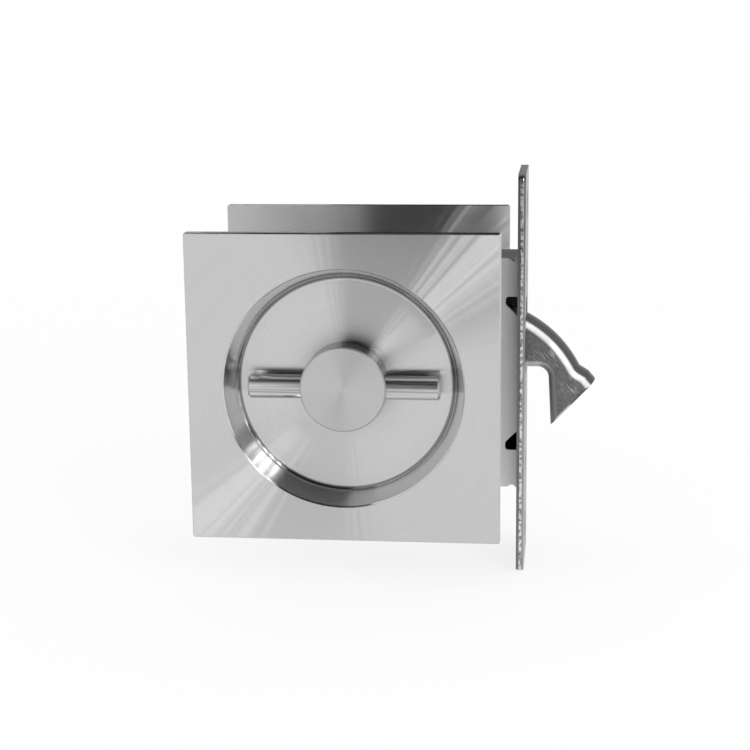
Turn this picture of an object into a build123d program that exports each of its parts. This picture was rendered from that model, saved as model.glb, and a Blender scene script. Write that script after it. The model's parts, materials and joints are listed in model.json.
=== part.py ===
import os
from math import acos, atan2, cos, degrees, hypot, pi, radians, sin, sqrt, tan

from build123d import *

# Frame: X out of the door's edge, Y through the door with the front at -Y, Z up.
# The origin is the centre of the faceplate's seat in the door's edge. Sizes in mm.

# Door and placing
door_thickness = 45.0
backset = 37.0

# Trim plates with their cups
plate_side = 65.0
plate_thickness = 2.0
plate_edge_break = 0.25
plate_corner_round = 0.5
cup_mouth_diameter = 50.0
cup_taper = 2.0
cup_depth = 6.0
cup_sheet = 1.5
cup_floor_round = 1.5
cup_rim_break = 0.3

# Turn in the front cup and release in the rear cup
boss_diameter = 18.0
boss_edge_break = 0.3
boss_floor_gap = 0.2
rod_diameter = 5.0
rod_length = 40.0
rod_end_break = 0.4
release_diameter = 15.0
release_height = 3.6
coin_slot_width = 2.0
coin_slot_depth = 2.0
coin_slot_margin = 1.0
shank_diameter = 9.0
shank_end_land = 1.2
spindle_side = 5.0
spindle_play = 0.06
spindle_end_break = 0.4

# Bushes, washers and retaining rings on the shanks
bush_diameter = 12.0
bush_flange_diameter = 15.0
bush_flange_thickness = 1.0
washer_diameter = 14.0
washer_thickness = 0.5
ring_diameter = 13.0
ring_thickness = 0.8
ring_groove_depth = 0.6
ring_mouth = 5.0
stack_play = 0.1
running_play = 0.05

# Posts and screws that draw the trims together
fixing_spacing = 34.0
fixing_post_diameter = 7.0
fixing_screw_diameter = 4.0
fixing_head_diameter = 6.6
fixing_post_overrun = 2.0
fixing_thread_length = 12.0
fixing_screw_gap = 1.0
screw_slot_width = 0.8
screw_clearance = 0.1

# Faceplate
face_length = 86.0
face_width = 22.0
face_thickness = 1.6
face_corner_round = 1.5
door_screw_spacing = 71.0
door_screw_hole = 4.5
door_screw_sink = 7.0
case_screw_diameter = 3.0
case_screw_head = 5.6
case_screw_length = 5.0
slot_side_play = 0.4
slot_end_play = 0.4
slot_corner_round = 1.0

# Case
case_depth = 53.0
case_thickness = 14.0
case_sheet = 1.5
case_bend = 1.2
lug_height = 8.0
notch_lug_gap = 0.25
notch_reach = 2.6
notch_width = 1.7
notch_flare = 2.6
notch_round = 0.7
clip_setback = 2.1
clip_bottom = 0.85
clip_front = 0.5
clip_depth = 0.8
case_post_diameter = 4.0
rivet_diameter = 2.5
post_front_setback = 8.5
post_front_gap = 1.1
post_rear_inset = 5.0
post_rear_height = 14.0
fixing_hole_play = 0.5
cover_sink_share = 0.8
cover_screw_length = 6.0

# Hook bolt
pivot_setback = 12.0
pivot_drop = 11.3
pivot_diameter = 6.0
pivot_spigot = 4.0
hook_thickness = 7.0
hook_boss_diameter = 12.0
hook_boss_play = 0.2
hook_arc_radius = 26.4
hook_root_angle = 78.0
hook_barb_angle = 27.0
barb_shoulder_step = 1.3
barb_shoulder_angle = 22.8
barb_tip_step = 2.0
barb_tip_angle = 18.7
arm_depth = 11.6
arm_setback = 2.0
arm_foot_angle = -25.0
throat_reach = 4.8
beak_length = 12.75
beak_lean = 0.65
throat_round = 2.4
barb_round = 1.2
arm_round = 4.0
hook_crown_round = 3.2
hook_throat_edge = 1.9
hook_point_break = 0.4
hook_soft_setback = 4.0
sector_overlap_angle = 4.0

# Teeth that carry the turn to the hook
hub_teeth = 12
hook_teeth = 20
pressure_angle = 25.0
addendum_factor = 0.85
dedendum_factor = 1.1
tooth_backlash = 0.16
hub_tooth_count = 5
hook_tooth_count = 4
hub_journal_diameter = 13.0
hub_end_play = 0.2
hub_flat_distance = 7.2

# Detent leaf
leaf_thickness = 0.5
leaf_width = 8.0
leaf_flat = 7.0
leaf_gap = 0.05
leaf_eye_play = 0.1
leaf_eye_end = 205.0

# Reach of a cutting profile past the face that it opens
cut_margin = 1.0

# Places that follow from the sizes above
spindle_x = face_thickness - backset
seat_y = door_thickness / 2
face_y = seat_y + plate_thickness
floor_y = face_y - cup_depth
floor_back_y = floor_y - cup_sheet
half_case = case_thickness / 2
inner_y = half_case - case_sheet
post_rear_setback = case_depth - post_rear_inset
pivot_x = face_thickness - pivot_setback
pivot_z = -pivot_drop
bush_back_y = floor_back_y - bush_flange_thickness
washer_y = bush_back_y - stack_play
ring_y = washer_y - washer_thickness - stack_play
shank_end_y = ring_y - ring_thickness - stack_play - shank_end_land
rod_y = (face_y + floor_y + boss_floor_gap) / 2
shank_radius = shank_diameter / 2
groove_radius = shank_radius - ring_groove_depth
spindle_axis = Axis((spindle_x, 0, 0), (0, 1, 0))


def from_pivot(radius, angle):
    return (pivot_x + radius * cos(radians(angle)), pivot_z + radius * sin(radians(angle)))


def height_around_pivot(radius, x):
    return sqrt(radius**2 - (x - pivot_x) ** 2) + pivot_z


# Corners of the hook
barb_radius = hook_arc_radius + barb_tip_step
arm_z = height_around_pivot(hook_arc_radius, face_thickness) - arm_depth
barb_root = from_pivot(hook_arc_radius, hook_barb_angle)
barb_shoulder = from_pivot(hook_arc_radius + barb_shoulder_step, barb_shoulder_angle)
barb_tip = from_pivot(barb_radius, barb_tip_angle)
throat_corner = (face_thickness + throat_reach, arm_z)
beak_tip = (throat_corner[0] + beak_lean, arm_z - beak_length)
arm_end = (face_thickness - arm_setback, arm_z)
arm_foot = from_pivot(hook_boss_diameter / 2, arm_foot_angle)

# Slot in the faceplate, clear of the barb's path and of the arm's rounded root
arm_turn = atan2(arm_end[1] - arm_foot[1], arm_end[0] - arm_foot[0])
root_start_x = arm_end[0] + arm_round * tan(arm_turn / 2)
root_drop = arm_round - sqrt(arm_round**2 - root_start_x**2)
slot_top = height_around_pivot(barb_radius, 0) + slot_end_play
slot_bottom = arm_z - root_drop - slot_end_play

# Front posts, clear of the barb's path above and of the hook's boss below, and the case walls past them
barb_path_z = height_around_pivot(barb_radius, -post_front_setback)
post_reach = post_front_gap + case_post_diameter / 2
upper_post_z = barb_path_z + post_reach
lower_post_z = pivot_z - hook_boss_diameter / 2 - post_reach
half_height = max(upper_post_z, -lower_post_z) + post_reach + case_sheet
case_height = 2 * half_height
case_screw_spacing = case_height - lug_height
notch_flat = half_height - lug_height - notch_lug_gap

# Gear pair
centre_distance = hypot(pivot_x - spindle_x, pivot_z)
module = 2 * centre_distance / (hub_teeth + hook_teeth)
pressure = radians(pressure_angle)
line_angle = degrees(atan2(pivot_z, pivot_x - spindle_x))
hub_step = 360 / hub_teeth
hook_step = 360 / hook_teeth
hub_root = module * (hub_teeth / 2 - dedendum_factor)
hook_root = module * (hook_teeth / 2 - dedendum_factor)
hub_angles = [line_angle - hub_step / 2 + hub_step * i for i in range(hub_tooth_count)]
hook_angles = [line_angle + 180 - hook_step * i for i in range(hook_tooth_count)]


def involute(angle):
    return tan(angle) - angle


def tooth_sketch(teeth):
    pitch_radius = module * teeth / 2
    base_radius = pitch_radius * cos(pressure)
    tip_radius = pitch_radius + addendum_factor * module
    root_radius = pitch_radius - dedendum_factor * module
    half_angle = pi / 2 / teeth - tooth_backlash / 4 / pitch_radius

    def flank(radius, side):
        spread = half_angle + involute(pressure) - involute(acos(base_radius / radius))
        return (radius * cos(spread), side * radius * sin(spread))

    start = max(base_radius, root_radius) + 0.001
    radii = (start, (start + tip_radius) / 2, tip_radius)
    upper = [flank(r, 1) for r in radii]
    lower = [flank(r, -1) for r in radii]
    foot_x = 0.9 * root_radius
    with BuildSketch() as tooth:
        with BuildLine():
            ThreePointArc(*upper)
            ThreePointArc(*lower)
            ThreePointArc(upper[2], (tip_radius, 0), lower[2])
            Polyline(upper[0], (foot_x, upper[0][1]), (foot_x, lower[0][1]), lower[0])
        make_face()
    return tooth.sketch


def at_height(y):
    return Plane.XZ.offset(-y)


# Front trim plate
cup_radius = cup_mouth_diameter / 2
cup_slope = cup_taper / cup_depth
wall_offset = cup_sheet * sqrt(1 + cup_slope**2)
seat_radius = cup_radius - cup_slope * plate_thickness + wall_offset
floor_radius = cup_radius - cup_taper
back_radius = seat_radius - cup_slope * (seat_y - floor_back_y)
with BuildPart() as front_trim:
    with BuildSketch(at_height(-seat_y)):
        with Locations((spindle_x, 0)):
            RectangleRounded(plate_side, plate_side, plate_corner_round)
    extrude(amount=plate_thickness)
    chamfer(front_trim.faces().sort_by(Axis.Y)[0].edges(), plate_edge_break)
    with BuildSketch(Plane.XY):
        with BuildLine():
            Polyline(
                (spindle_x, -seat_y - plate_thickness / 2),
                (spindle_x + seat_radius, -seat_y - plate_thickness / 2),
                (spindle_x + seat_radius, -seat_y),
                (spindle_x + back_radius, -floor_back_y),
                (spindle_x, -floor_back_y),
                close=True,
            )
        back_corner = make_face().vertices().sort_by(Axis.Y)[-2:].sort_by(Axis.X)[-1]
        fillet(back_corner, cup_floor_round + cup_sheet / 2)
    revolve(axis=spindle_axis)
    with BuildSketch(Plane.XY):
        with BuildLine():
            Polyline(
                (spindle_x, -face_y - cut_margin),
                (spindle_x + cup_radius + cup_rim_break, -face_y - cut_margin),
                (spindle_x + cup_radius + cup_rim_break, -face_y),
                (spindle_x + cup_radius, -face_y + cup_rim_break),
                (spindle_x + floor_radius, -floor_y),
                (spindle_x, -floor_y),
                close=True,
            )
        floor_corner = make_face().vertices().sort_by(Axis.Y)[-2:].sort_by(Axis.X)[-1]
        fillet(floor_corner, cup_floor_round)
    revolve(axis=spindle_axis, mode=Mode.SUBTRACT)
    with BuildSketch(at_height(-face_y)):
        with Locations((spindle_x, 0)):
            Circle(bush_diameter / 2)
    extrude(amount=-cup_depth - 2 * cup_sheet, mode=Mode.SUBTRACT)

# Rear trim plate with its screw holes
head_radius = fixing_head_diameter / 2
fixing_radius = fixing_screw_diameter / 2
fixing_places = [(spindle_x, fixing_spacing / 2), (spindle_x, -fixing_spacing / 2)]
with BuildPart() as rear_trim:
    mirror(front_trim.part, about=Plane.XZ)
    for place in fixing_places:
        with BuildSketch(Plane((place[0], floor_y, place[1]), x_dir=(1, 0, 0), z_dir=(0, -1, 0))):
            Circle(fixing_radius + screw_clearance)
        extrude(amount=2 * cup_sheet, mode=Mode.SUBTRACT)
        with BuildSketch(Plane((place[0], 0, place[1]))):
            with BuildLine():
                Polyline(
                    (0, floor_y),
                    (head_radius, floor_y),
                    (fixing_radius, floor_y - head_radius + fixing_radius),
                    (0, floor_y - head_radius + fixing_radius),
                    close=True,
                )
            make_face()
        revolve(axis=Axis((place[0], 0, place[1]), (0, 1, 0)), mode=Mode.SUBTRACT)

# Bushes in the cup floors
with BuildPart() as front_bush:
    with BuildSketch(at_height(-floor_y)):
        with Locations((spindle_x, 0)):
            Circle(bush_diameter / 2)
            Circle(shank_radius + running_play, mode=Mode.SUBTRACT)
    extrude(amount=-cup_sheet)
    with BuildSketch(at_height(-floor_back_y)):
        with Locations((spindle_x, 0)):
            Circle(bush_flange_diameter / 2)
            Circle(shank_radius + running_play, mode=Mode.SUBTRACT)
    extrude(amount=-bush_flange_thickness)
with BuildPart() as rear_bush:
    mirror(front_bush.part, about=Plane.XZ)

# Turn boss with shank
with BuildPart() as turn_boss:
    with BuildSketch(at_height(-face_y)):
        with Locations((spindle_x, 0)):
            Circle(boss_diameter / 2)
    extrude(amount=-(cup_depth - boss_floor_gap))
    chamfer(turn_boss.faces().sort_by(Axis.Y)[0].edges(), boss_edge_break)
    with BuildSketch(at_height(-floor_y - boss_floor_gap)):
        with Locations((spindle_x, 0)):
            Circle(shank_radius)
    extrude(amount=-(floor_y + boss_floor_gap - shank_end_y))
    with BuildSketch(at_height(-ring_y - stack_play / 2)):
        with Locations((spindle_x, 0)):
            Circle(shank_radius + cut_margin)
            Circle(groove_radius, mode=Mode.SUBTRACT)
    extrude(amount=-(ring_thickness + stack_play), mode=Mode.SUBTRACT)
    with BuildSketch(at_height(-shank_end_y)):
        with Locations((spindle_x, 0)):
            Rectangle(spindle_side + spindle_play, spindle_side + spindle_play)
    extrude(amount=floor_y - shank_end_y - boss_floor_gap, mode=Mode.SUBTRACT)
    with BuildSketch(Plane.YZ.offset(spindle_x)):
        with Locations((-rod_y, 0)):
            Circle(rod_diameter / 2)
    extrude(amount=boss_diameter, both=True, mode=Mode.SUBTRACT)

# Cross rod
with BuildPart() as turn_rod:
    with BuildSketch(Plane.YZ.offset(spindle_x)):
        with Locations((-rod_y, 0)):
            Circle(rod_diameter / 2)
    extrude(amount=rod_length / 2, both=True)
    chamfer(turn_rod.edges().group_by(Axis.X)[0], rod_end_break)
    chamfer(turn_rod.edges().group_by(Axis.X)[-1], rod_end_break)

# Coin slot release
with BuildPart() as release_turn:
    with BuildSketch(at_height(floor_y + boss_floor_gap)):
        with Locations((spindle_x, 0)):
            Circle(release_diameter / 2)
    extrude(amount=-release_height)
    chamfer(release_turn.faces().sort_by(Axis.Y)[-1].edges(), boss_edge_break)
    with BuildSketch(at_height(floor_y + boss_floor_gap)):
        with Locations((spindle_x, 0)):
            Circle(shank_radius)
    extrude(amount=floor_y + boss_floor_gap - shank_end_y)
    with BuildSketch(at_height(ring_y + stack_play / 2)):
        with Locations((spindle_x, 0)):
            Circle(shank_radius + cut_margin)
            Circle(groove_radius, mode=Mode.SUBTRACT)
    extrude(amount=ring_thickness + stack_play, mode=Mode.SUBTRACT)
    with BuildSketch(at_height(shank_end_y)):
        with Locations((spindle_x, 0)):
            Rectangle(spindle_side + spindle_play, spindle_side + spindle_play)
    extrude(amount=-(floor_y - shank_end_y - boss_floor_gap), mode=Mode.SUBTRACT)
    with BuildSketch(at_height(floor_y + boss_floor_gap + release_height)):
        with Locations((spindle_x, 0)):
            Rectangle(release_diameter - 2 * coin_slot_margin, coin_slot_width)
    extrude(amount=coin_slot_depth, mode=Mode.SUBTRACT)

# Thrust washers
with BuildPart() as front_washer:
    with BuildSketch(at_height(-washer_y)):
        with Locations((spindle_x, 0)):
            Circle(washer_diameter / 2)
            Circle(shank_radius + running_play, mode=Mode.SUBTRACT)
    extrude(amount=-washer_thickness)
with BuildPart() as rear_washer:
    mirror(front_washer.part, about=Plane.XZ)

# Retaining rings
with BuildPart() as front_ring:
    with BuildSketch(at_height(-ring_y)):
        with Locations((spindle_x, 0)):
            Circle(ring_diameter / 2)
            Circle(groove_radius, mode=Mode.SUBTRACT)
        with Locations((spindle_x, -ring_diameter / 2)):
            Rectangle(ring_mouth, ring_diameter, mode=Mode.SUBTRACT)
    extrude(amount=-ring_thickness)
with BuildPart() as rear_ring:
    mirror(front_ring.part, about=Plane.XZ)

# Square spindle
spindle_half = floor_y - 2 * boss_floor_gap
with BuildPart() as spindle:
    with BuildSketch(Plane.XZ):
        with Locations((spindle_x, 0)):
            Rectangle(spindle_side, spindle_side)
    extrude(amount=spindle_half, both=True)
    chamfer(spindle.edges().group_by(Axis.Y)[0], spindle_end_break)
    chamfer(spindle.edges().group_by(Axis.Y)[-1], spindle_end_break)

# Threaded posts behind the front cup
post_end_y = half_case + fixing_post_overrun
with BuildPart() as fixing_posts:
    with BuildSketch(at_height(-floor_back_y)):
        with Locations(*fixing_places):
            Circle(fixing_post_diameter / 2)
    extrude(amount=-(floor_back_y + post_end_y))
    with BuildSketch(at_height(post_end_y)):
        with Locations(*fixing_places):
            Circle(fixing_radius)
    extrude(amount=fixing_thread_length, mode=Mode.SUBTRACT)

# Screws through the rear cup into the posts
fixing_tip_y = post_end_y - fixing_thread_length + fixing_screw_gap
with BuildPart() as fixing_screws:
    for place in fixing_places:
        with BuildSketch(Plane((place[0], 0, place[1]))):
            with BuildLine():
                Polyline(
                    (0, floor_y),
                    (head_radius, floor_y),
                    (fixing_radius, floor_y - head_radius + fixing_radius),
                    (fixing_radius, fixing_tip_y),
                    (0, fixing_tip_y),
                    close=True,
                )
            make_face()
        revolve(axis=Axis((place[0], 0, place[1]), (0, 1, 0)))
    with BuildSketch(at_height(floor_y)):
        with Locations(*fixing_places):
            Rectangle(2 * fixing_head_diameter, screw_slot_width)
    extrude(amount=screw_slot_width, mode=Mode.SUBTRACT)

# Faceplate
case_screw_places = [(0, case_screw_spacing / 2), (0, -case_screw_spacing / 2)]
door_screw_places = [(0, door_screw_spacing / 2), (0, -door_screw_spacing / 2)]
slot_width = hook_thickness + 2 * slot_side_play
case_head_radius = case_screw_head / 2
case_screw_radius = case_screw_diameter / 2
with BuildPart() as faceplate:
    with BuildSketch(Plane.YZ):
        RectangleRounded(face_width, face_length, face_corner_round)
        with Locations((0, (slot_top + slot_bottom) / 2)):
            RectangleRounded(slot_width, slot_top - slot_bottom, slot_corner_round, mode=Mode.SUBTRACT)
    extrude(amount=face_thickness)
    with Locations(Plane.YZ.offset(face_thickness)):
        with Locations(*door_screw_places):
            CounterSinkHole(door_screw_hole / 2, door_screw_sink / 2, counter_sink_angle=90)
        with Locations(*case_screw_places):
            CounterSinkHole(
                case_screw_radius + screw_clearance,
                case_head_radius + screw_clearance,
                counter_sink_angle=90,
            )

# Screws that hold the faceplate to the case
head_top_x = face_thickness - screw_clearance
with BuildPart() as faceplate_screws:
    for place in case_screw_places:
        with BuildSketch(Plane((0, 0, place[1]), x_dir=(1, 0, 0), z_dir=(0, -1, 0))):
            with BuildLine():
                Polyline(
                    (head_top_x, 0),
                    (head_top_x, case_head_radius),
                    (head_top_x - case_head_radius + case_screw_radius, case_screw_radius),
                    (face_thickness - case_screw_length, case_screw_radius),
                    (face_thickness - case_screw_length, 0),
                    close=True,
                )
            make_face()
        revolve(axis=Axis((0, 0, place[1]), (1, 0, 0)))
    with BuildSketch(Plane.YZ.offset(head_top_x)):
        with Locations(*case_screw_places):
            Rectangle(2 * case_screw_head, screw_slot_width)
    extrude(amount=-screw_slot_width, mode=Mode.SUBTRACT)

# Holes that both case sides share
post_places = [
    (-post_front_setback, upper_post_z),
    (-post_front_setback, lower_post_z),
    (-post_rear_setback, post_rear_height),
    (-post_rear_setback, -post_rear_height),
]
with BuildSketch() as side_holes:
    with Locations((spindle_x, 0)):
        Circle(hub_journal_diameter / 2 + running_play)
    with Locations(*fixing_places):
        Circle(fixing_post_diameter / 2 + fixing_hole_play)
    with Locations((pivot_x, pivot_z)):
        Circle(pivot_spigot / 2)
    with Locations(*post_places):
        Circle(rivet_diameter / 2)

# Notches and clips along the cover's front edge
with BuildSketch() as front_cuts:
    for side in (1, -1):
        with BuildSketch():
            with BuildLine():
                Polyline(
                    (cut_margin, side * notch_flat),
                    (-notch_reach, side * notch_flat),
                    (-notch_reach, side * (notch_flat - notch_width)),
                    (0, side * (notch_flat - notch_width - notch_flare)),
                    (cut_margin, side * (notch_flat - notch_width - notch_flare)),
                    close=True,
                )
            fillet(make_face().vertices().sort_by(Axis.X)[:2], notch_round)
        with BuildSketch():
            with BuildLine():
                Polyline(
                    (-clip_setback, side * half_height),
                    (-clip_bottom, side * (half_height - clip_depth)),
                    (-clip_front, side * half_height),
                    (-clip_front, side * (half_height + cut_margin)),
                    (-clip_setback, side * (half_height + cut_margin)),
                    close=True,
                )
            make_face()

# Case tray: rear side, walls and the two lugs behind the faceplate
with BuildPart() as case_tray:
    with BuildSketch(at_height(inner_y)):
        with Locations((-case_depth / 2, 0)):
            Rectangle(case_depth, case_height)
            Rectangle(case_depth - 2 * case_sheet, case_height - 2 * case_sheet, mode=Mode.SUBTRACT)
        with Locations((-case_sheet / 2, 0)):
            Rectangle(2 * case_sheet, case_height - 2 * lug_height, mode=Mode.SUBTRACT)
    extrude(amount=2 * inner_y)
    with BuildSketch(at_height(half_case)):
        with Locations((-case_depth / 2, 0)):
            Rectangle(case_depth, case_height)
    extrude(amount=case_sheet)
    outer_edges = case_tray.faces().sort_by(Axis.Y)[-1].edges()
    fillet(outer_edges.sort_by(Axis.X)[:-1], case_bend)
    with BuildSketch(at_height(half_case)):
        add(side_holes.sketch)
    extrude(amount=case_sheet, mode=Mode.SUBTRACT)
    with BuildSketch(Plane.YZ):
        with Locations(*case_screw_places):
            Circle(case_screw_radius)
    extrude(amount=-case_sheet, mode=Mode.SUBTRACT)

# Case cover
sink = cover_sink_share * case_sheet
with BuildPart() as case_cover:
    with BuildSketch(at_height(-inner_y)):
        with Locations((-case_depth / 2, 0)):
            Rectangle(case_depth, case_height)
        add(side_holes.sketch, mode=Mode.SUBTRACT)
        add(front_cuts.sketch, mode=Mode.SUBTRACT)
    extrude(amount=case_sheet)
    for place in post_places:
        with BuildSketch(Plane((place[0], 0, place[1]))):
            with BuildLine():
                Polyline(
                    (0, -half_case),
                    (rivet_diameter / 2 + sink, -half_case),
                    (rivet_diameter / 2, -half_case + sink),
                    (0, -half_case + sink),
                    close=True,
                )
            make_face()
        revolve(axis=Axis((place[0], 0, place[1]), (0, 1, 0)), mode=Mode.SUBTRACT)

# Riveted posts between tray and cover
with BuildPart() as case_posts:
    with BuildSketch(at_height(-inner_y)):
        with Locations(*post_places):
            Circle(case_post_diameter / 2)
    extrude(amount=-2 * inner_y)
    with BuildSketch(at_height(inner_y)):
        with Locations(*post_places):
            Circle(rivet_diameter / 2)
    extrude(amount=-case_sheet)
    with BuildSketch(at_height(-inner_y)):
        with Locations(*post_places):
            Circle(rivet_diameter / 2)
    extrude(amount=-inner_y, mode=Mode.SUBTRACT)

# Cover screws
cover_tip_y = cover_screw_length - half_case
with BuildPart() as cover_screws:
    for place in post_places:
        with BuildSketch(Plane((place[0], 0, place[1]))):
            with BuildLine():
                Polyline(
                    (0, -half_case),
                    (rivet_diameter / 2 + sink, -half_case),
                    (rivet_diameter / 2, -half_case + sink),
                    (rivet_diameter / 2, cover_tip_y),
                    (0, cover_tip_y),
                    close=True,
                )
            make_face()
        revolve(axis=Axis((place[0], 0, place[1]), (0, 1, 0)))
    with BuildSketch(at_height(-half_case)):
        with Locations(*post_places):
            Rectangle(3 * rivet_diameter, screw_slot_width)
    extrude(amount=-screw_slot_width, mode=Mode.SUBTRACT)

# Toothed hub
hub_half = inner_y - hub_end_play
with BuildPart() as hub:
    with BuildSketch(Plane.XZ):
        with Locations((spindle_x, 0)):
            Circle(hub_root)
        for angle in hub_angles:
            with Locations(Location((spindle_x, 0, 0), (0, 0, angle))):
                add(tooth_sketch(hub_teeth))
        with Locations((spindle_x - hub_flat_distance - hub_root, 0)):
            Rectangle(2 * hub_root, 3 * hub_root, mode=Mode.SUBTRACT)
        with Locations((spindle_x, -hub_flat_distance - hub_root)):
            Rectangle(hub_root, 2 * hub_root, mode=Mode.SUBTRACT)
    extrude(amount=hub_half, both=True)
    with BuildSketch(Plane.XZ):
        with Locations((spindle_x, 0)):
            Circle(hub_journal_diameter / 2)
    extrude(amount=half_case, both=True)
    with BuildSketch(Plane.XZ):
        with Locations((spindle_x, 0)):
            Rectangle(spindle_side + spindle_play, spindle_side + spindle_play)
    extrude(amount=half_case, both=True, mode=Mode.SUBTRACT)


# Hook bolt
def nearest(corners, point):
    return corners.sort_by_distance((point[0], point[1], 0))[0]


def reach_from_pivot(point):
    return hypot(point.X - pivot_x, point.Z - pivot_z)


boss_radius = hook_boss_diameter / 2
crown_start = hook_arc_radius - hook_crown_round
sector_start = hook_root_angle - sector_overlap_angle
sector_end = hook_angles[0] + 0.4 * hook_step
arc_sweep = hook_barb_angle - hook_root_angle
with BuildPart() as hook:
    with BuildSketch(Plane.XZ) as hook_outline:
        with BuildLine():
            CenterArc((pivot_x, pivot_z), hook_arc_radius, hook_root_angle, arc_sweep)
            Polyline(
                barb_root,
                barb_shoulder,
                barb_tip,
                beak_tip,
                throat_corner,
                arm_end,
                arm_foot,
                (pivot_x, pivot_z),
                from_pivot(hook_arc_radius, hook_root_angle),
            )
        make_face()
        fillet(nearest(hook_outline.vertices(), barb_root), barb_round)
        fillet(nearest(hook_outline.vertices(), barb_shoulder), barb_round)
        fillet(nearest(hook_outline.vertices(), throat_corner), throat_round)
        fillet(nearest(hook_outline.vertices(), arm_end), arm_round)
    extrude(amount=hook_thickness / 2, both=True)
    slant_middle = ((barb_tip[0] + beak_tip[0]) / 2, 0, (barb_tip[1] + beak_tip[1]) / 2)
    rims = hook.faces().filter_by(Axis.Y).edges()
    chamfer(rims.sort_by_distance(slant_middle)[:2], hook_point_break)
    rims = hook.faces().filter_by(Axis.Y).edges()
    soft_start_x = face_thickness - hook_soft_setback
    soft_rims = [e for e in rims.sort_by_distance(slant_middle)[2:] if e.center().X > soft_start_x]
    crown_rims = [e for e in soft_rims if reach_from_pivot(e.center()) > crown_start]
    throat_rims = [e for e in soft_rims if reach_from_pivot(e.center()) < crown_start]
    fillet(crown_rims, hook_crown_round)
    fillet(throat_rims, hook_throat_edge)
    with BuildSketch(Plane.XZ):
        with BuildLine():
            CenterArc((pivot_x, pivot_z), hook_root, sector_start, sector_end - sector_start)
            Polyline(
                from_pivot(hook_root, sector_end),
                (pivot_x, pivot_z),
                from_pivot(hook_root, sector_start),
            )
        make_face()
        for angle in hook_angles:
            with Locations(Location((pivot_x, pivot_z, 0), (0, 0, angle))):
                add(tooth_sketch(hook_teeth))
    extrude(amount=hook_thickness / 2, both=True)
    with BuildSketch(Plane.XZ):
        with Locations((pivot_x, pivot_z)):
            Circle(boss_radius)
    extrude(amount=inner_y - hook_boss_play, both=True)
    with BuildSketch(Plane.XZ):
        with Locations((pivot_x, pivot_z)):
            Circle(pivot_diameter / 2 + running_play)
    extrude(amount=inner_y, both=True, mode=Mode.SUBTRACT)

# Pivot pin of the hook
with BuildPart() as hook_pin:
    with BuildSketch(Plane.XZ):
        with Locations((pivot_x, pivot_z)):
            Circle(pivot_diameter / 2)
    extrude(amount=inner_y, both=True)
    with BuildSketch(Plane.XZ):
        with Locations((pivot_x, pivot_z)):
            Circle(pivot_spigot / 2)
    extrude(amount=half_case, both=True)

# Detent leaf with an eye around each rear post
leaf_x = spindle_x - hub_flat_distance - leaf_gap - leaf_thickness / 2
eye_x = -post_rear_setback
eye_z = post_rear_height
eye_radius = case_post_diameter / 2 + leaf_eye_play + leaf_thickness / 2
leg_x = leaf_x - eye_x
leg_z = leaf_flat / 2 - eye_z
eye_start = degrees(atan2(leg_z, leg_x) + acos(eye_radius / hypot(leg_x, leg_z)))
with BuildPart() as detent_spring:
    with BuildSketch(Plane.XZ):
        with BuildLine() as half_leaf:
            CenterArc((eye_x, eye_z), eye_radius, eye_start, leaf_eye_end - eye_start)
            Polyline(
                (
                    eye_x + eye_radius * cos(radians(eye_start)),
                    eye_z + eye_radius * sin(radians(eye_start)),
                ),
                (leaf_x, leaf_flat / 2),
                (leaf_x, 0),
            )
            mirror(half_leaf.line, about=Plane.XZ)
            offset(amount=leaf_thickness / 2, side=Side.BOTH, closed=True)
        make_face()
    extrude(amount=leaf_width / 2, both=True)

os.makedirs("parts", exist_ok=True)
pieces = {
    "front_trim": front_trim,
    "rear_trim": rear_trim,
    "front_bush": front_bush,
    "rear_bush": rear_bush,
    "turn_boss": turn_boss,
    "turn_rod": turn_rod,
    "release_turn": release_turn,
    "front_washer": front_washer,
    "rear_washer": rear_washer,
    "front_ring": front_ring,
    "rear_ring": rear_ring,
    "spindle": spindle,
    "fixing_posts": fixing_posts,
    "fixing_screws": fixing_screws,
    "faceplate": faceplate,
    "faceplate_screws": faceplate_screws,
    "case_tray": case_tray,
    "case_cover": case_cover,
    "case_posts": case_posts,
    "cover_screws": cover_screws,
    "hub": hub,
    "hook": hook,
    "hook_pin": hook_pin,
    "detent_spring": detent_spring,
}
for label, piece in pieces.items():
    piece.part.label = label
    export_step(piece.part, f"parts/{label}.step")
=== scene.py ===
import json
from math import cos, pi, radians, sin

import bpy
from mathutils import Matrix, Vector


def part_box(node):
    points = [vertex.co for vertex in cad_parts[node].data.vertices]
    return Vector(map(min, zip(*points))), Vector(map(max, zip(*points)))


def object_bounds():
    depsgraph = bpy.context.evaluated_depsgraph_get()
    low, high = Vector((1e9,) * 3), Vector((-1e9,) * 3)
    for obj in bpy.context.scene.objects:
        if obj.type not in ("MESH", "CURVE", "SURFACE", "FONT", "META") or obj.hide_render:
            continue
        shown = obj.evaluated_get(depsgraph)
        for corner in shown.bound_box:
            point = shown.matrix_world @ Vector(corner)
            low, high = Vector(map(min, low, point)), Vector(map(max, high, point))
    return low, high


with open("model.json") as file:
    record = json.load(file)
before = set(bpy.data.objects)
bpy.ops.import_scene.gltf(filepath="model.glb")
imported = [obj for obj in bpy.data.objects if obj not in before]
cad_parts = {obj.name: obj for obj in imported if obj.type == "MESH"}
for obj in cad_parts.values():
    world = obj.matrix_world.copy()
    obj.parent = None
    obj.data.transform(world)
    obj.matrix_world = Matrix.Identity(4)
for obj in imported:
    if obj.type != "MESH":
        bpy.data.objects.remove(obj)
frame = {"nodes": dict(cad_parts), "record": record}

# Everything is in metres, in the part's own frame.
MM = 0.001
cad_low, cad_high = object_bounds()

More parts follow.
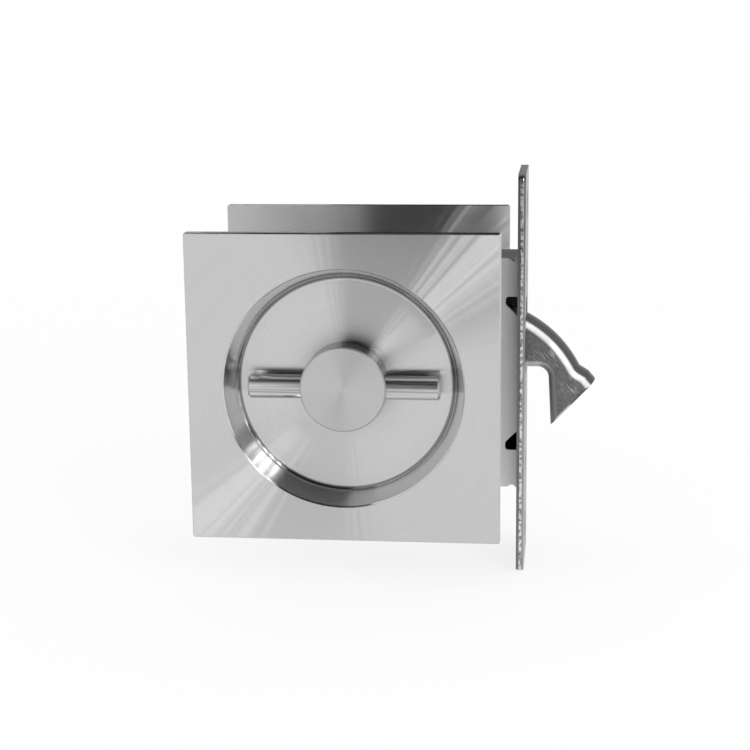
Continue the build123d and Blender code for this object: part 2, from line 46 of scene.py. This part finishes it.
# Places read from the frame
boss_low, boss_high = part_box("turn_boss")
SPINDLE = (boss_low + boss_high) / 2
face_low, face_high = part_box("faceplate")
tray_low, tray_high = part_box("case_tray")
cover_low, cover_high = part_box("case_cover")
CASE_SHEET = cover_high.y - cover_low.y
hook_joint = next(j for j in frame["record"]["behaviour"]["joints"] if j["name"] == "hook_swing")
HOOK_PIVOT = Vector(hook_joint["pos_m"])

# A pair of values is a span, over which a mask, a shade or a roughness changes. Most noise lies in these two.
NOISE_SPAN = (0.3, 0.7)
WIDE_NOISE_SPAN = (0.25, 0.75)
HALF = 0.5
NO_TINT = (1.0, 1.0, 1.0)

# Camera at the photograph's viewing angle
CAMERA_PLACE = Vector((11.6, -370.0, 80.2)) * MM
CAMERA_AZIMUTH = radians(6.64)
CAMERA_ELEVATION = radians(12.47)
CAMERA_ROLL = radians(-0.67)
CAMERA_CLIP = (0.01, 200.0)
SENSOR_WIDTH_MM = 36.0
LENS_MM = 83.3

# Floor: it fades to white over these distances, and shows this share of white at their two ends
FLOOR_HEIGHT = cad_low.z
FLOOR_RADIUS = 30.0
FLOOR_SIDES = 96
FLOOR_FADE = (0.12, 0.8)
FLOOR_WHITE = (0.8, 1.0)
FLOOR_GREY = 0.9

# Studio: the front plate mirrors the camera towards MIRROR, and lamps and flags are set around that direction
MIRROR = Vector((-0.112, -0.97, -0.216)).normalized()
MIRROR_RIGHT = (Vector((1.0, 0.0, 0.0)) - MIRROR * MIRROR.x).normalized()
MIRROR_UP = MIRROR.cross(MIRROR_RIGHT)
RIGHT_ANGLE = 90.0
# Narrow lamps: degrees turned around the mirror direction, and radiance
STRIPS = ((32.0, 5.0), (38.5, 13.0), (44.0, 22.0), (50.0, 10.0))
STRIP_AWAY = 61.0
STRIP_WIDTH = 0.028
STRIP_HEIGHT = 0.3
STRIP_DISTANCE = 0.75
# Black cards that only reflections see: degrees turned around the mirror direction, and degrees away from it
FLAGS = {
    "flag_front": ((55.0, 98.0), (18.0, 112.0)),
    "flag_side": ((30.0, 55.0), (18.0, 44.0)),
    "flag_top": ((98.0, 114.0), (60.0, 112.0)),
    "flag_low": ((18.0, 29.5), (50.0, 86.0)),
}
BACK_FLAGS = ("flag_front", "flag_top")
FLAG_DISTANCE = 0.15
FLAG_STEP = 4.0
FLAG_FEWEST_STEPS = 2
FLAG_GREY = 0.02


class Graph:
    """A node tree with short calls for the nodes that the materials below share."""

    def __init__(self, tree):
        self.tree = tree
        tree.nodes.clear()

    def give(self, socket, value):
        if isinstance(value, bpy.types.NodeSocket):
            self.tree.links.new(value, socket)
        else:
            socket.default_value = value

    def add(self, kind, inputs=(), **settings):
        node = self.tree.nodes.new(kind)
        for name, value in settings.items():
            setattr(node, name, value)
        for key, value in dict(inputs).items():
            self.give(node.inputs[key], value)
        return node

    def math(self, operation, a, b=0.0):
        return self.add("ShaderNodeMath", {0: a, 1: b}, operation=operation).outputs[0]

    def product(self, first, *others):
        for other in others:
            first = self.math("MULTIPLY", first, other)
        return first

    def rest(self, mask):
        """One where the mask is nought, and nought where it is one."""
        return self.math("SUBTRACT", 1.0, mask)

    def vector(self, operation, a, b=(0.0, 0.0, 0.0)):
        node = self.add("ShaderNodeVectorMath", {0: a, 1: b}, operation=operation)
        return node.outputs["Value" if operation == "LENGTH" else "Vector"]

    def split(self, vector):
        return self.add("ShaderNodeSeparateXYZ", {0: vector}).outputs

    def join(self, x, y, z):
        return self.add("ShaderNodeCombineXYZ", {0: x, 1: y, 2: z}).outputs[0]

    def noise(self, vector, scale, detail, roughness=0.5):
        inputs = {"Vector": vector, "Scale": scale, "Detail": detail, "Roughness": roughness}
        return self.add("ShaderNodeTexNoise", inputs).outputs["Fac"]

    def remap(self, value, span, to, smooth=False):
        inputs = {"Value": value, "From Min": span[0], "From Max": span[1], "To Min": to[0], "To Max": to[1]}
        kind = "SMOOTHSTEP" if smooth else "LINEAR"
        return self.add("ShaderNodeMapRange", inputs, interpolation_type=kind, clamp=True).outputs["Result"]

    def rise(self, value, span):
        """Nought below the span, one above it, and smooth between."""
        return self.remap(value, span, (0.0, 1.0), smooth=True)

    def fall(self, value, span):
        return self.remap(value, span, (1.0, 0.0), smooth=True)

    def between(self, value, start, end):
        """A mask that rises over the start span and falls over the end span."""
        return self.product(self.rise(value, start), self.fall(value, end))

    def mix(self, factor, a, b):
        node = self.add("ShaderNodeMix", data_type="FLOAT")
        for key, value in {"Factor": factor, "A": a, "B": b}.items():
            self.give(next(s for s in node.inputs if s.name == key and s.type == "VALUE" and s.enabled), value)
        return next(s for s in node.outputs if s.enabled)

    def grey(self, value, tint):
        """A colour of that brightness, tinted by three factors."""
        red, green, blue = (self.product(value, share) for share in tint)
        return self.add("ShaderNodeCombineColor", {0: red, 1: green, 2: blue}).outputs[0]

    def place(self):
        return self.add("ShaderNodeTexCoord").outputs["Object"]

    def stretched(self, scales):
        """The place in the part, with each axis multiplied by its own scale."""
        return self.vector("MULTIPLY", self.place(), scales)

    def normal(self):
        """The surface's direction in the part's frame, whatever the pose."""
        return self.add("ShaderNodeTexCoord").outputs["Normal"]

    def facing(self, axis):
        """One where the surface faces along that axis of the part, either way, and nought where it stands beside it."""
        return self.math("ABSOLUTE", self.split(self.normal())[axis])

    def surface(self, shade, roughness, height, depth, tint=NO_TINT, metallic=1.0, **more):
        """Ends a material's tree with that brightness and roughness, and a relief of that depth."""
        relief = self.add("ShaderNodeBump", {"Height": height, "Distance": depth}).outputs["Normal"]
        inputs = {"Base Color": self.grey(shade, tint), "Metallic": metallic, "Roughness": roughness, "Normal": relief}
        self.finish(self.add("ShaderNodeBsdfPrincipled", {**inputs, **more}).outputs[0])

    def finish(self, shader):
        output = "ShaderNodeOutputWorld" if shader.node.type == "BACKGROUND" else "ShaderNodeOutputMaterial"
        self.add(output, {"Surface": shader})


def new_material(name):
    material = bpy.data.materials.new(name)
    material.use_nodes = True
    return material, Graph(material.node_tree)


def dress(nodes, material):
    for name in nodes:
        for slot in frame["nodes"][name].material_slots:
            slot.material = material


def about(middle, spread):
    return middle - spread, middle + spread


def opaque(grey):
    return grey, grey, grey, 1.0


# Brushed stainless steel: marks per metre across the brushing, and how often they change along it
FINE_MARKS = (6500.0, 3.0)
COARSE_MARKS = (1700.0, 2.0)
COARSE_SHARE = 0.35
BRUSHED_ROUGHNESS_SPREAD = 0.02
BRUSHED_DEPTH = 8.0e-6
BRUSHED_TINT = (1.0, 1.0, 0.995)
# Hand brushing isn't quite circular: the marks lean by up to this tangent, in narrow spokes around the spindle
BRUSH_LEAN = 0.11
SPOKES_PER_RADIAN = 22.0
# The cup's wall lies between these distances from the spindle
WALL_INSIDE = (22.3 * MM, 23.0 * MM)
WALL_OUTSIDE = (25.0 * MM, 25.3 * MM)
CUP_FLOOR_FINER = 0.05
CUP_WALL_ROUGHNESS = 0.12
CUP_WALL_SHADE = 0.72
# and its round corner, which gets a painted shade, between these
CORNER_INSIDE = (22.1 * MM, 22.5 * MM)
CORNER_OUTSIDE = (22.7 * MM, 23.1 * MM)
CORNER_PAINTED_SHADE = 0.2
# A turn's side, chamfer and face, by how far they face along the spindle
# A turn's side gets a painted shade over this span
SIDE_PAINTED_SHADE_SPAN = (0.2, 0.8)
CHAMFER_SPAN = (0.1, 0.5)
FACE_SPAN = (0.9, 0.99)
SIDE_TO_CHAMFER_ROUGHNESS = (0.22, 0.6)


def around_spindle(g):
    """Distance from the spindle, angle around it, and the direction across circular brush marks."""
    x, _, z = g.split(g.vector("SUBTRACT", g.place(), tuple(SPINDLE)))
    flat = g.join(x, 0.0, z)
    radius = g.vector("LENGTH", flat)
    angle = g.math("ARCTAN2", z, x)
    turned = g.add(
        "ShaderNodeVectorTransform",
        {0: g.vector("CROSS_PRODUCT", (0.0, 1.0, 0.0), flat)},
        vector_type="VECTOR",
        convert_from="OBJECT",
        convert_to="WORLD",
    ).outputs[0]
    turned = g.vector("NORMALIZE", turned)
    facing = g.add("ShaderNodeNewGeometry").outputs["Normal"]
    across = g.vector("NORMALIZE", g.vector("CROSS_PRODUCT", turned, facing))
    circle = g.join(g.math("COSINE", angle), g.math("SINE", angle), 0.0)
    spokes = g.noise(circle, SPOKES_PER_RADIAN, detail=1.0)
    lean = g.remap(spokes, WIDE_NOISE_SPAN, (-BRUSH_LEAN, BRUSH_LEAN))
    leaning = g.vector("ADD", across, g.vector("MULTIPLY", turned, g.join(lean, lean, lean)))
    return radius, angle, g.vector("NORMALIZE", leaning)


def circular_brushed(name, base, spread, roughness, anisotropy, cup=False, side_painted_shade=1.0, depth=BRUSHED_DEPTH):
    """Stainless steel brushed in circles around the spindle.

    A cup has a finer floor, a bright drawn wall and a painted shade in the corner between them. A side painted shade
    below one is for turned pieces, whose sides are painted that much darker than their faces as painted shade, and
    whose chamfers are matt.
    """
    material, g = new_material(name)
    radius, angle, across = around_spindle(g)
    turn_x = g.math("COSINE", angle)
    turn_z = g.math("SINE", angle)

    def marks(per_metre, along):
        place = g.join(g.product(radius, per_metre), g.product(turn_x, along), g.product(turn_z, along))
        return g.noise(place, scale=1.0, detail=2.0, roughness=0.6)

    both = g.mix(COARSE_SHARE, marks(*FINE_MARKS), marks(*COARSE_MARKS))
    shade = g.remap(both, WIDE_NOISE_SPAN, about(base, spread))
    rough = g.remap(both, WIDE_NOISE_SPAN, about(roughness, BRUSHED_ROUGHNESS_SPREAD))
    height = both
    if side_painted_shade < 1.0:
        flatness = g.facing("Y")
        # Painted shade: a turned piece's sides are made darker than its face
        shade = g.product(shade, g.remap(flatness, SIDE_PAINTED_SHADE_SPAN, (side_painted_shade, 1.0)))
        beside = g.remap(flatness, CHAMFER_SPAN, SIDE_TO_CHAMFER_ROUGHNESS)
        rough = g.mix(g.rise(flatness, FACE_SPAN), beside, rough)
    if cup:
        wall = g.between(radius, WALL_INSIDE, WALL_OUTSIDE)
        corner = g.between(radius, CORNER_INSIDE, CORNER_OUTSIDE)
        # Painted shade: the cup's round corner is made dark
        shade = g.mix(corner, g.mix(wall, shade, CUP_WALL_SHADE), CORNER_PAINTED_SHADE)
        rough = g.math("SUBTRACT", rough, g.remap(radius, WALL_INSIDE, (CUP_FLOOR_FINER, 0.0)))
        rough = g.mix(wall, rough, CUP_WALL_ROUGHNESS)
        height = g.product(both, g.rest(wall))
    g.surface(shade, rough, height, depth, BRUSHED_TINT, Anisotropic=anisotropy, Tangent=across)
    return material


# Plain metal: two grains of noise per metre
CLOUDY_GRAIN = 900.0
FINE_GRAIN = 6300.0
PLAIN_ROUGHNESS_SPREAD = 0.05
PLAIN_DEPTH = 4.0e-6
# Share of brightness left on the case's inner faces, as painted shade
INSIDE_PAINTED_SHADE = 0.12


def inside_case(g):
    """One on the case's inner faces and nought on its outer ones, changing in the middle of the sheet."""
    soft = CASE_SHEET / 5
    middle = CASE_SHEET / 2
    low = (tray_low.x + middle, cover_low.y + middle, tray_low.z + middle)
    # The case is open towards the faceplate, so its inside goes on past that end
    high = (tray_high.x + CASE_SHEET, tray_high.y - middle, tray_high.z - middle)
    along_axes = zip(g.split(g.place()), low, high)
    return g.product(*(g.between(along, about(start, soft), about(end, soft)) for along, start, end in along_axes))


def plain_metal(name, base, spread, roughness, tint=NO_TINT, shaded_inside=False):
    """Metal with a fine cloudy grain and a little unevenness. One shaded inside has painted shade on the case's inner
    faces.
    """
    material, g = new_material(name)
    place = g.place()
    cloudy = g.noise(place, CLOUDY_GRAIN, detail=3.0, roughness=0.6)
    fine = g.noise(place, FINE_GRAIN, detail=2.0, roughness=0.6)
    both = g.mix(HALF, cloudy, fine)
    shade = g.remap(both, NOISE_SPAN, about(base, spread))
    rough = g.remap(both, NOISE_SPAN, about(roughness, PLAIN_ROUGHNESS_SPREAD))
    if shaded_inside:
        # Painted shade on the case's inner faces
        shade = g.product(shade, g.mix(inside_case(g), 1.0, INSIDE_PAINTED_SHADE))
    g.surface(shade, rough, both, PLAIN_DEPTH, tint)
    return material


# Drawn rod: how often its lines change per metre, along it and across it
ROD_FINE_LINES = (60.0, 6200.0, 6200.0)
ROD_BROAD_LINES = (25.0, 1900.0, 1900.0)
ROD_BROAD_SHARE = 0.6
ROD_LINE_SPAN = (0.36, 0.64)
ROD_SHADES = (0.34, 0.74)
ROD_ROUGHNESS = (0.24, 0.34)
ROD_DEPTH = 2.0e-5
# Its cut ends face along it and have no lines, and its back faces the cup's floor and gets a painted shade
ROD_CUT_SPAN = (0.4, 0.8)
ROD_CUT_LINES = 0.5
ROD_BACK_SPAN = (-0.5, 0.3)
ROD_BACK_PAINTED_SHADE = 0.12
# Its back has no painted shade beyond this distance from the spindle, at its ends
ROD_END = (16.5 * MM, 18.5 * MM)


def drawn_rod():
    """Rod with drawing lines along it, and a painted shade on its back towards the cup's floor."""
    material, g = new_material("rod_stainless")
    fine = g.noise(g.stretched(ROD_FINE_LINES), scale=1.0, detail=2.0, roughness=0.6)
    broad = g.noise(g.stretched(ROD_BROAD_LINES), scale=1.0, detail=1.0)
    cut = g.rise(g.facing("X"), ROD_CUT_SPAN)
    lines = g.mix(cut, g.mix(ROD_BROAD_SHARE, fine, broad), ROD_CUT_LINES)
    from_spindle = g.math("ABSOLUTE", g.math("SUBTRACT", g.split(g.place())["X"], SPINDLE.x))
    front = g.fall(g.split(g.normal())["Y"], ROD_BACK_SPAN)
    no_painted_shade = g.math("MAXIMUM", front, g.rise(from_spindle, ROD_END))
    # Painted shade on the rod's back, towards the cup's floor, except near its ends
    shade = g.mix(no_painted_shade, ROD_BACK_PAINTED_SHADE, g.remap(lines, ROD_LINE_SPAN, ROD_SHADES))
    g.surface(shade, g.remap(lines, NOISE_SPAN, ROD_ROUGHNESS), lines, ROD_DEPTH)
    return material


# Hook's scratches: the direction they run in, and how often they change per metre along it and across it
SCRATCH_X = 0.62
SCRATCH_Z = -0.78
SCRATCHES_ALONG = 330.0
SCRATCHES_ACROSS = 5600.0
SCRATCH_SPAN = (0.6, 0.7)
SCRATCHED_PATCH_SPAN = (0.47, 0.62)
SCRATCH_SHADE = 0.45
# Its plating: patches and mottles per metre
PATCH_SCALE = 210.0
MOTTLE_SCALE = 1500.0
MOTTLE_SHARE = 0.5
PLATED_SHADES = (0.11, 0.21)
PLATED_ROUGHNESS = (0.3, 0.4)
HOOK_DEPTH = 8.0e-6
# Its crown begins this far from its pivot, and has a painted highlight where the round meets the side
CROWN_START = (21.6 * MM, 22.6 * MM)
HIGHLIGHT_START = (0.75, 0.88)
HIGHLIGHT_END = (0.955, 0.997)
HIGHLIGHT_PATCH_SPAN = (0.35, 0.6)
HIGHLIGHT_SHADES = (0.66, 0.88)
HIGHLIGHT_ROUGHNESS = 0.55
# Outside the highlight, the crown's round gets a painted dark shade
OUTER_PAINTED_SHADE_SPAN = (0.76, 0.86)
OUTER_PAINTED_SHADE = 0.1
# The throat's round gets a painted lighter highlight
THROAT_HIGHLIGHT_START = (0.05, 0.3)
THROAT_HIGHLIGHT_END = (0.93, 0.995)
THROAT_PAINTED_HIGHLIGHT = 0.5
# The part of it that stays in the case gets painted shade behind this place
CASE_PAINTED_SHADE_EDGE = (-2.0 * MM, 0.5 * MM)
CASE_PAINTED_SHADE_SHARES = (0.25, 1.0)


def hook_steel():
    """Dark plated steel with light scratches on the hook's sides, a painted highlight along the crown's round, a
    painted dark band outside it, a painted lighter band on the throat's round, and painted shade on the part inside the
    case.
    """
    material, g = new_material("hook_steel")
    place = g.place()
    x, _, z = g.split(place)
    along = g.math("ADD", g.product(x, SCRATCH_X), g.product(z, SCRATCH_Z))
    across = g.math("ADD", g.product(x, -SCRATCH_Z), g.product(z, SCRATCH_X))
    scratched = g.join(g.product(along, SCRATCHES_ALONG), g.product(across, SCRATCHES_ACROSS), 0.0)
    strokes = g.noise(scratched, scale=1.0, detail=0.0)
    patches = g.noise(place, PATCH_SCALE, detail=1.0)
    mottle = g.noise(place, MOTTLE_SCALE, detail=3.0, roughness=0.65)
    scratch = g.product(g.rise(strokes, SCRATCH_SPAN), g.rise(patches, SCRATCHED_PATCH_SPAN))

    from_pivot_x, _, from_pivot_z = g.split(g.vector("SUBTRACT", place, tuple(HOOK_PIVOT)))
    crown = g.rise(g.vector("LENGTH", g.join(from_pivot_x, 0.0, from_pivot_z)), CROWN_START)
    flatness = g.facing("Y")
    painted_highlight = g.product(g.between(flatness, HIGHLIGHT_START, HIGHLIGHT_END), crown)
    outer = g.product(g.fall(flatness, OUTER_PAINTED_SHADE_SPAN), crown)
    throat_painted_highlight = g.product(g.between(flatness, THROAT_HIGHLIGHT_START, THROAT_HIGHLIGHT_END), g.rest(crown))

    shade = g.mix(scratch, g.remap(mottle, NOISE_SPAN, PLATED_SHADES), SCRATCH_SHADE)
    # Painted highlight on the throat's round
    shade = g.mix(throat_painted_highlight, shade, THROAT_PAINTED_HIGHLIGHT)
    # Painted shade on the outer part of the crown's round
    shade = g.mix(outer, shade, OUTER_PAINTED_SHADE)
    # Painted highlight along the crown's round
    shade = g.mix(painted_highlight, shade, g.remap(patches, HIGHLIGHT_PATCH_SPAN, HIGHLIGHT_SHADES))
    # Painted shade on the part of the hook inside the case
    shade = g.product(shade, g.remap(x, CASE_PAINTED_SHADE_EDGE, CASE_PAINTED_SHADE_SHARES, smooth=True))
    rough = g.mix(painted_highlight, g.remap(mottle, NOISE_SPAN, PLATED_ROUGHNESS), HIGHLIGHT_ROUGHNESS)
    height = g.math("ADD", g.product(mottle, MOTTLE_SHARE), scratch)
    g.surface(shade, rough, height, HOOK_DEPTH)
    return material


# Zinc plated sheet: clouds, grit and chips per metre
ZINC_CLOUDS = 700.0
ZINC_GRIT = 3000.0
ZINC_CHIPS = 1250.0
ZINC_GRIT_SHARE = 0.4
ZINC_SHADES = (0.25, 0.37)
ZINC_ROUGHNESS = (0.3, 0.42)
ZINC_RELIEF_SHARE = 0.04
ZINC_DEPTH = 1.4e-4
# Its cut edge doesn't face along the sheet's thickness, and at the sheet's ends it faces up or down
CUT_SPAN = (0.3, 0.6)
END_SPAN = (0.5, 0.9)
END_SHADE = 0.6
END_ROUGHNESS = 0.7
# Burnished and torn parts of the edge, in shares of the sheet's thickness
BURNISHED_SPAN = (0.2, 0.9)
BURNISHED_SHADES = (0.17, 0.34)
TORN_START = (0.3, 0.42)
TORN_END = (0.62, 0.8)
CHIP_SPAN = (0.4, 0.6)
TORN_SHADES = (0.24, 0.8)
TORN_ROUGHNESS = 0.3


def sheared_zinc():
    """Zinc plated sheet whose cut edge has a smooth burnished part and a rough, glinting broken part."""
    material, g = new_material("zinc_front")
    place = g.place()
    cloud = g.noise(place, ZINC_CLOUDS, detail=3.0, roughness=0.6)
    grit = g.noise(place, ZINC_GRIT, detail=2.0, roughness=0.7)
    chips = g.noise(place, ZINC_CHIPS, detail=1.5, roughness=0.6)
    edge = g.fall(g.facing("X"), CUT_SPAN)
    ends = g.rise(g.facing("Z"), END_SPAN)
    depth = g.remap(g.split(place)["X"], (face_low.x, face_high.x), (0.0, 1.0))
    torn = g.product(g.between(depth, TORN_START, TORN_END), g.math("SUBTRACT", edge, ends))

    plain = g.remap(g.mix(ZINC_GRIT_SHARE, cloud, grit), NOISE_SPAN, ZINC_SHADES)
    shade = g.mix(edge, plain, g.remap(depth, BURNISHED_SPAN, BURNISHED_SHADES))
    shade = g.mix(torn, g.mix(ends, shade, END_SHADE), g.remap(chips, CHIP_SPAN, TORN_SHADES))
    rough = g.mix(ends, g.remap(grit, NOISE_SPAN, ZINC_ROUGHNESS), END_ROUGHNESS)
    rough = g.mix(torn, rough, TORN_ROUGHNESS)
    height = g.mix(torn, g.product(g.mix(HALF, cloud, grit), ZINC_RELIEF_SHARE), chips)
    g.surface(shade, rough, height, ZINC_DEPTH)
    return material


# Natural nylon
NYLON_CLOUDS = 700.0
NYLON_SHADES = (0.76, 0.84)
NYLON_TINT = (1.0, 0.985, 0.94)
NYLON_ROUGHNESS = (0.42, 0.5)
NYLON_DEPTH = 4.0e-6


def nylon_material():
    material, g = new_material("natural_nylon")
    cloud = g.noise(g.place(), NYLON_CLOUDS, detail=3.0, roughness=0.6)
    shade = g.remap(cloud, NOISE_SPAN, NYLON_SHADES)
    rough = g.remap(cloud, NOISE_SPAN, NYLON_ROUGHNESS)
    g.surface(shade, rough, cloud, NYLON_DEPTH, NYLON_TINT, metallic=0.0)
    return material


dress(
    ["front_trim", "rear_trim"],
    circular_brushed("satin_stainless", base=0.6, spread=0.03, roughness=0.31, anisotropy=1.0, cup=True),
)
dress(
    ["turn_boss", "release_turn"],
    circular_brushed(
        "turn_stainless", base=0.5, spread=0.01, roughness=0.29, anisotropy=0.8, side_painted_shade=0.62, depth=1.0e-6
    ),
)
dress(["turn_rod"], drawn_rod())
dress(["faceplate"], sheared_zinc())
dress(
    ["case_tray", "case_cover"],
    plain_metal("zinc_case", base=0.78, spread=0.03, roughness=0.56, shaded_inside=True),
)
dress(["hook"], hook_steel())
dress(["hub"], plain_metal("hub_steel", base=0.45, spread=0.04, roughness=0.35))
dress(
    ["front_washer", "rear_washer", "spindle", "fixing_posts", "case_posts", "hook_pin"],
    plain_metal("plain_steel", base=0.5, spread=0.03, roughness=0.3),
)
dress(
    ["fixing_screws", "faceplate_screws", "cover_screws"],
    plain_metal("screw_steel", base=0.42, spread=0.05, roughness=0.3),
)
dress(
    ["front_ring", "rear_ring", "detent_spring"],
    plain_metal("spring_steel", base=0.28, spread=0.03, roughness=0.3, tint=(0.95, 0.98, 1.05)),
)
dress(["front_bush", "rear_bush"], nylon_material())


def floor_piece():
    """A wide pale floor that fades to white away from the object and keeps its shadow."""
    bpy.ops.mesh.primitive_circle_add(
        vertices=FLOOR_SIDES, radius=FLOOR_RADIUS, fill_type="NGON", location=(0.0, 0.0, FLOOR_HEIGHT)
    )
    floor = bpy.context.object
    floor.name = "floor"
    material, g = new_material("floor")
    distance = g.vector("LENGTH", g.place())
    seen = g.add("ShaderNodeLightPath").outputs
    mirrored = g.math("MAXIMUM", seen["Is Glossy Ray"], seen["Is Transmission Ray"])
    shown = g.math("MAXIMUM", seen["Is Camera Ray"], mirrored)
    white = g.product(shown, g.remap(distance, FLOOR_FADE, FLOOR_WHITE, smooth=True))
    pale = g.add("ShaderNodeBsdfDiffuse", {"Color": opaque(FLOOR_GREY)}).outputs[0]
    glow = g.add("ShaderNodeEmission", {"Color": opaque(1.0), "Strength": 1.0}).outputs[0]
    g.finish(g.add("ShaderNodeMixShader", {0: white, 1: pale, 2: glow}).outputs[0])
    floor.data.materials.append(material)


def studio_world():
    """White all round."""
    world = bpy.data.worlds.new("studio")
    bpy.context.scene.world = world
    world.use_nodes = True
    g = Graph(world.node_tree)
    g.finish(g.add("ShaderNodeBackground", {"Color": opaque(1.0), "Strength": 1.0}).outputs[0])


def around_mirror(turn, away):
    """The direction so many degrees away from the mirror direction, turned around it from the right."""
    along = MIRROR_RIGHT * cos(radians(turn)) + MIRROR_UP * sin(radians(turn))
    return MIRROR * cos(radians(away)) + along * sin(radians(away))


def strip_lamp(name, turn, radiance):
    """A narrow lamp that faces the spindle, with its height along the ray from the mirror direction."""
    aim = around_mirror(turn, STRIP_AWAY)
    height_axis = around_mirror(turn, STRIP_AWAY + RIGHT_ANGLE)
    data = bpy.data.lights.new(name, "AREA")
    data.shape = "RECTANGLE"
    data.size = STRIP_WIDTH
    data.size_y = STRIP_HEIGHT
    data.energy = radiance * pi * STRIP_WIDTH * STRIP_HEIGHT
    lamp = bpy.data.objects.new(name, data)
    bpy.context.scene.collection.objects.link(lamp)
    turned = Matrix((height_axis.cross(aim), height_axis, aim)).transposed().to_4x4()
    lamp.matrix_world = Matrix.Translation(SPINDLE + aim * STRIP_DISTANCE) @ turned
    lamp.visible_camera = False


def flag_steps(span):
    """Angles from one end of the span to the other, about FLAG_STEP apart."""
    count = max(FLAG_FEWEST_STEPS, round((span[1] - span[0]) / FLAG_STEP))
    return [span[0] + (span[1] - span[0]) * i / count for i in range(count + 1)]


def flag(name, turns, aways, side):
    """A curved black card that only reflections see, as a photographer sets one to give metal its dark lines.

    Side is 1 for the front plate's cards and -1 for their mirror images, behind the rear plate.
    """
    columns = flag_steps(turns)
    rows = flag_steps(aways)
    corners = []
    for away in rows:
        for turn in columns:
            corner = SPINDLE + around_mirror(turn, away) * FLAG_DISTANCE
            corners.append((corner.x, side * corner.y, corner.z))
    wide = len(columns)
    faces = []
    for j in range(len(rows) - 1):
        for i in range(wide - 1):
            first = j * wide + i
            faces.append((first, first + 1, first + wide + 1, first + wide))
    mesh = bpy.data.meshes.new(name)
    mesh.from_pydata(corners, [], faces)
    card = bpy.data.objects.new(name, mesh)
    bpy.context.scene.collection.objects.link(card)
    card.visible_camera = False
    card.visible_diffuse = False
    card.visible_shadow = False
    material, g = new_material(name)
    g.finish(g.add("ShaderNodeBsdfDiffuse", {"Color": opaque(FLAG_GREY)}).outputs[0])
    mesh.materials.append(material)


def add_camera():
    data = bpy.data.cameras.new("camera")
    data.sensor_width = SENSOR_WIDTH_MM
    data.lens = LENS_MM
    data.clip_start, data.clip_end = CAMERA_CLIP
    camera = bpy.data.objects.new("camera", data)
    bpy.context.scene.collection.objects.link(camera)
    az, el, roll = CAMERA_AZIMUTH, CAMERA_ELEVATION, CAMERA_ROLL
    back = Vector((sin(az) * cos(el), -cos(az) * cos(el), sin(el)))
    level = Vector((cos(az), sin(az), 0.0))
    right = cos(roll) * level + sin(roll) * back.cross(level)
    up = back.cross(right)
    camera.matrix_world = Matrix.Translation(CAMERA_PLACE) @ Matrix((right, up, back)).transposed().to_4x4()
    bpy.context.scene.camera = camera


floor_piece()
studio_world()
for strip, (turn, radiance) in enumerate(STRIPS):
    strip_lamp(f"strip_{strip}", turn, radiance)
for name, (turns, aways) in FLAGS.items():
    flag(name, turns, aways, 1.0)
    if name in BACK_FLAGS:
        flag(f"{name}_back", turns, aways, -1.0)
add_camera()
bpy.context.scene.view_settings.view_transform = "Standard"
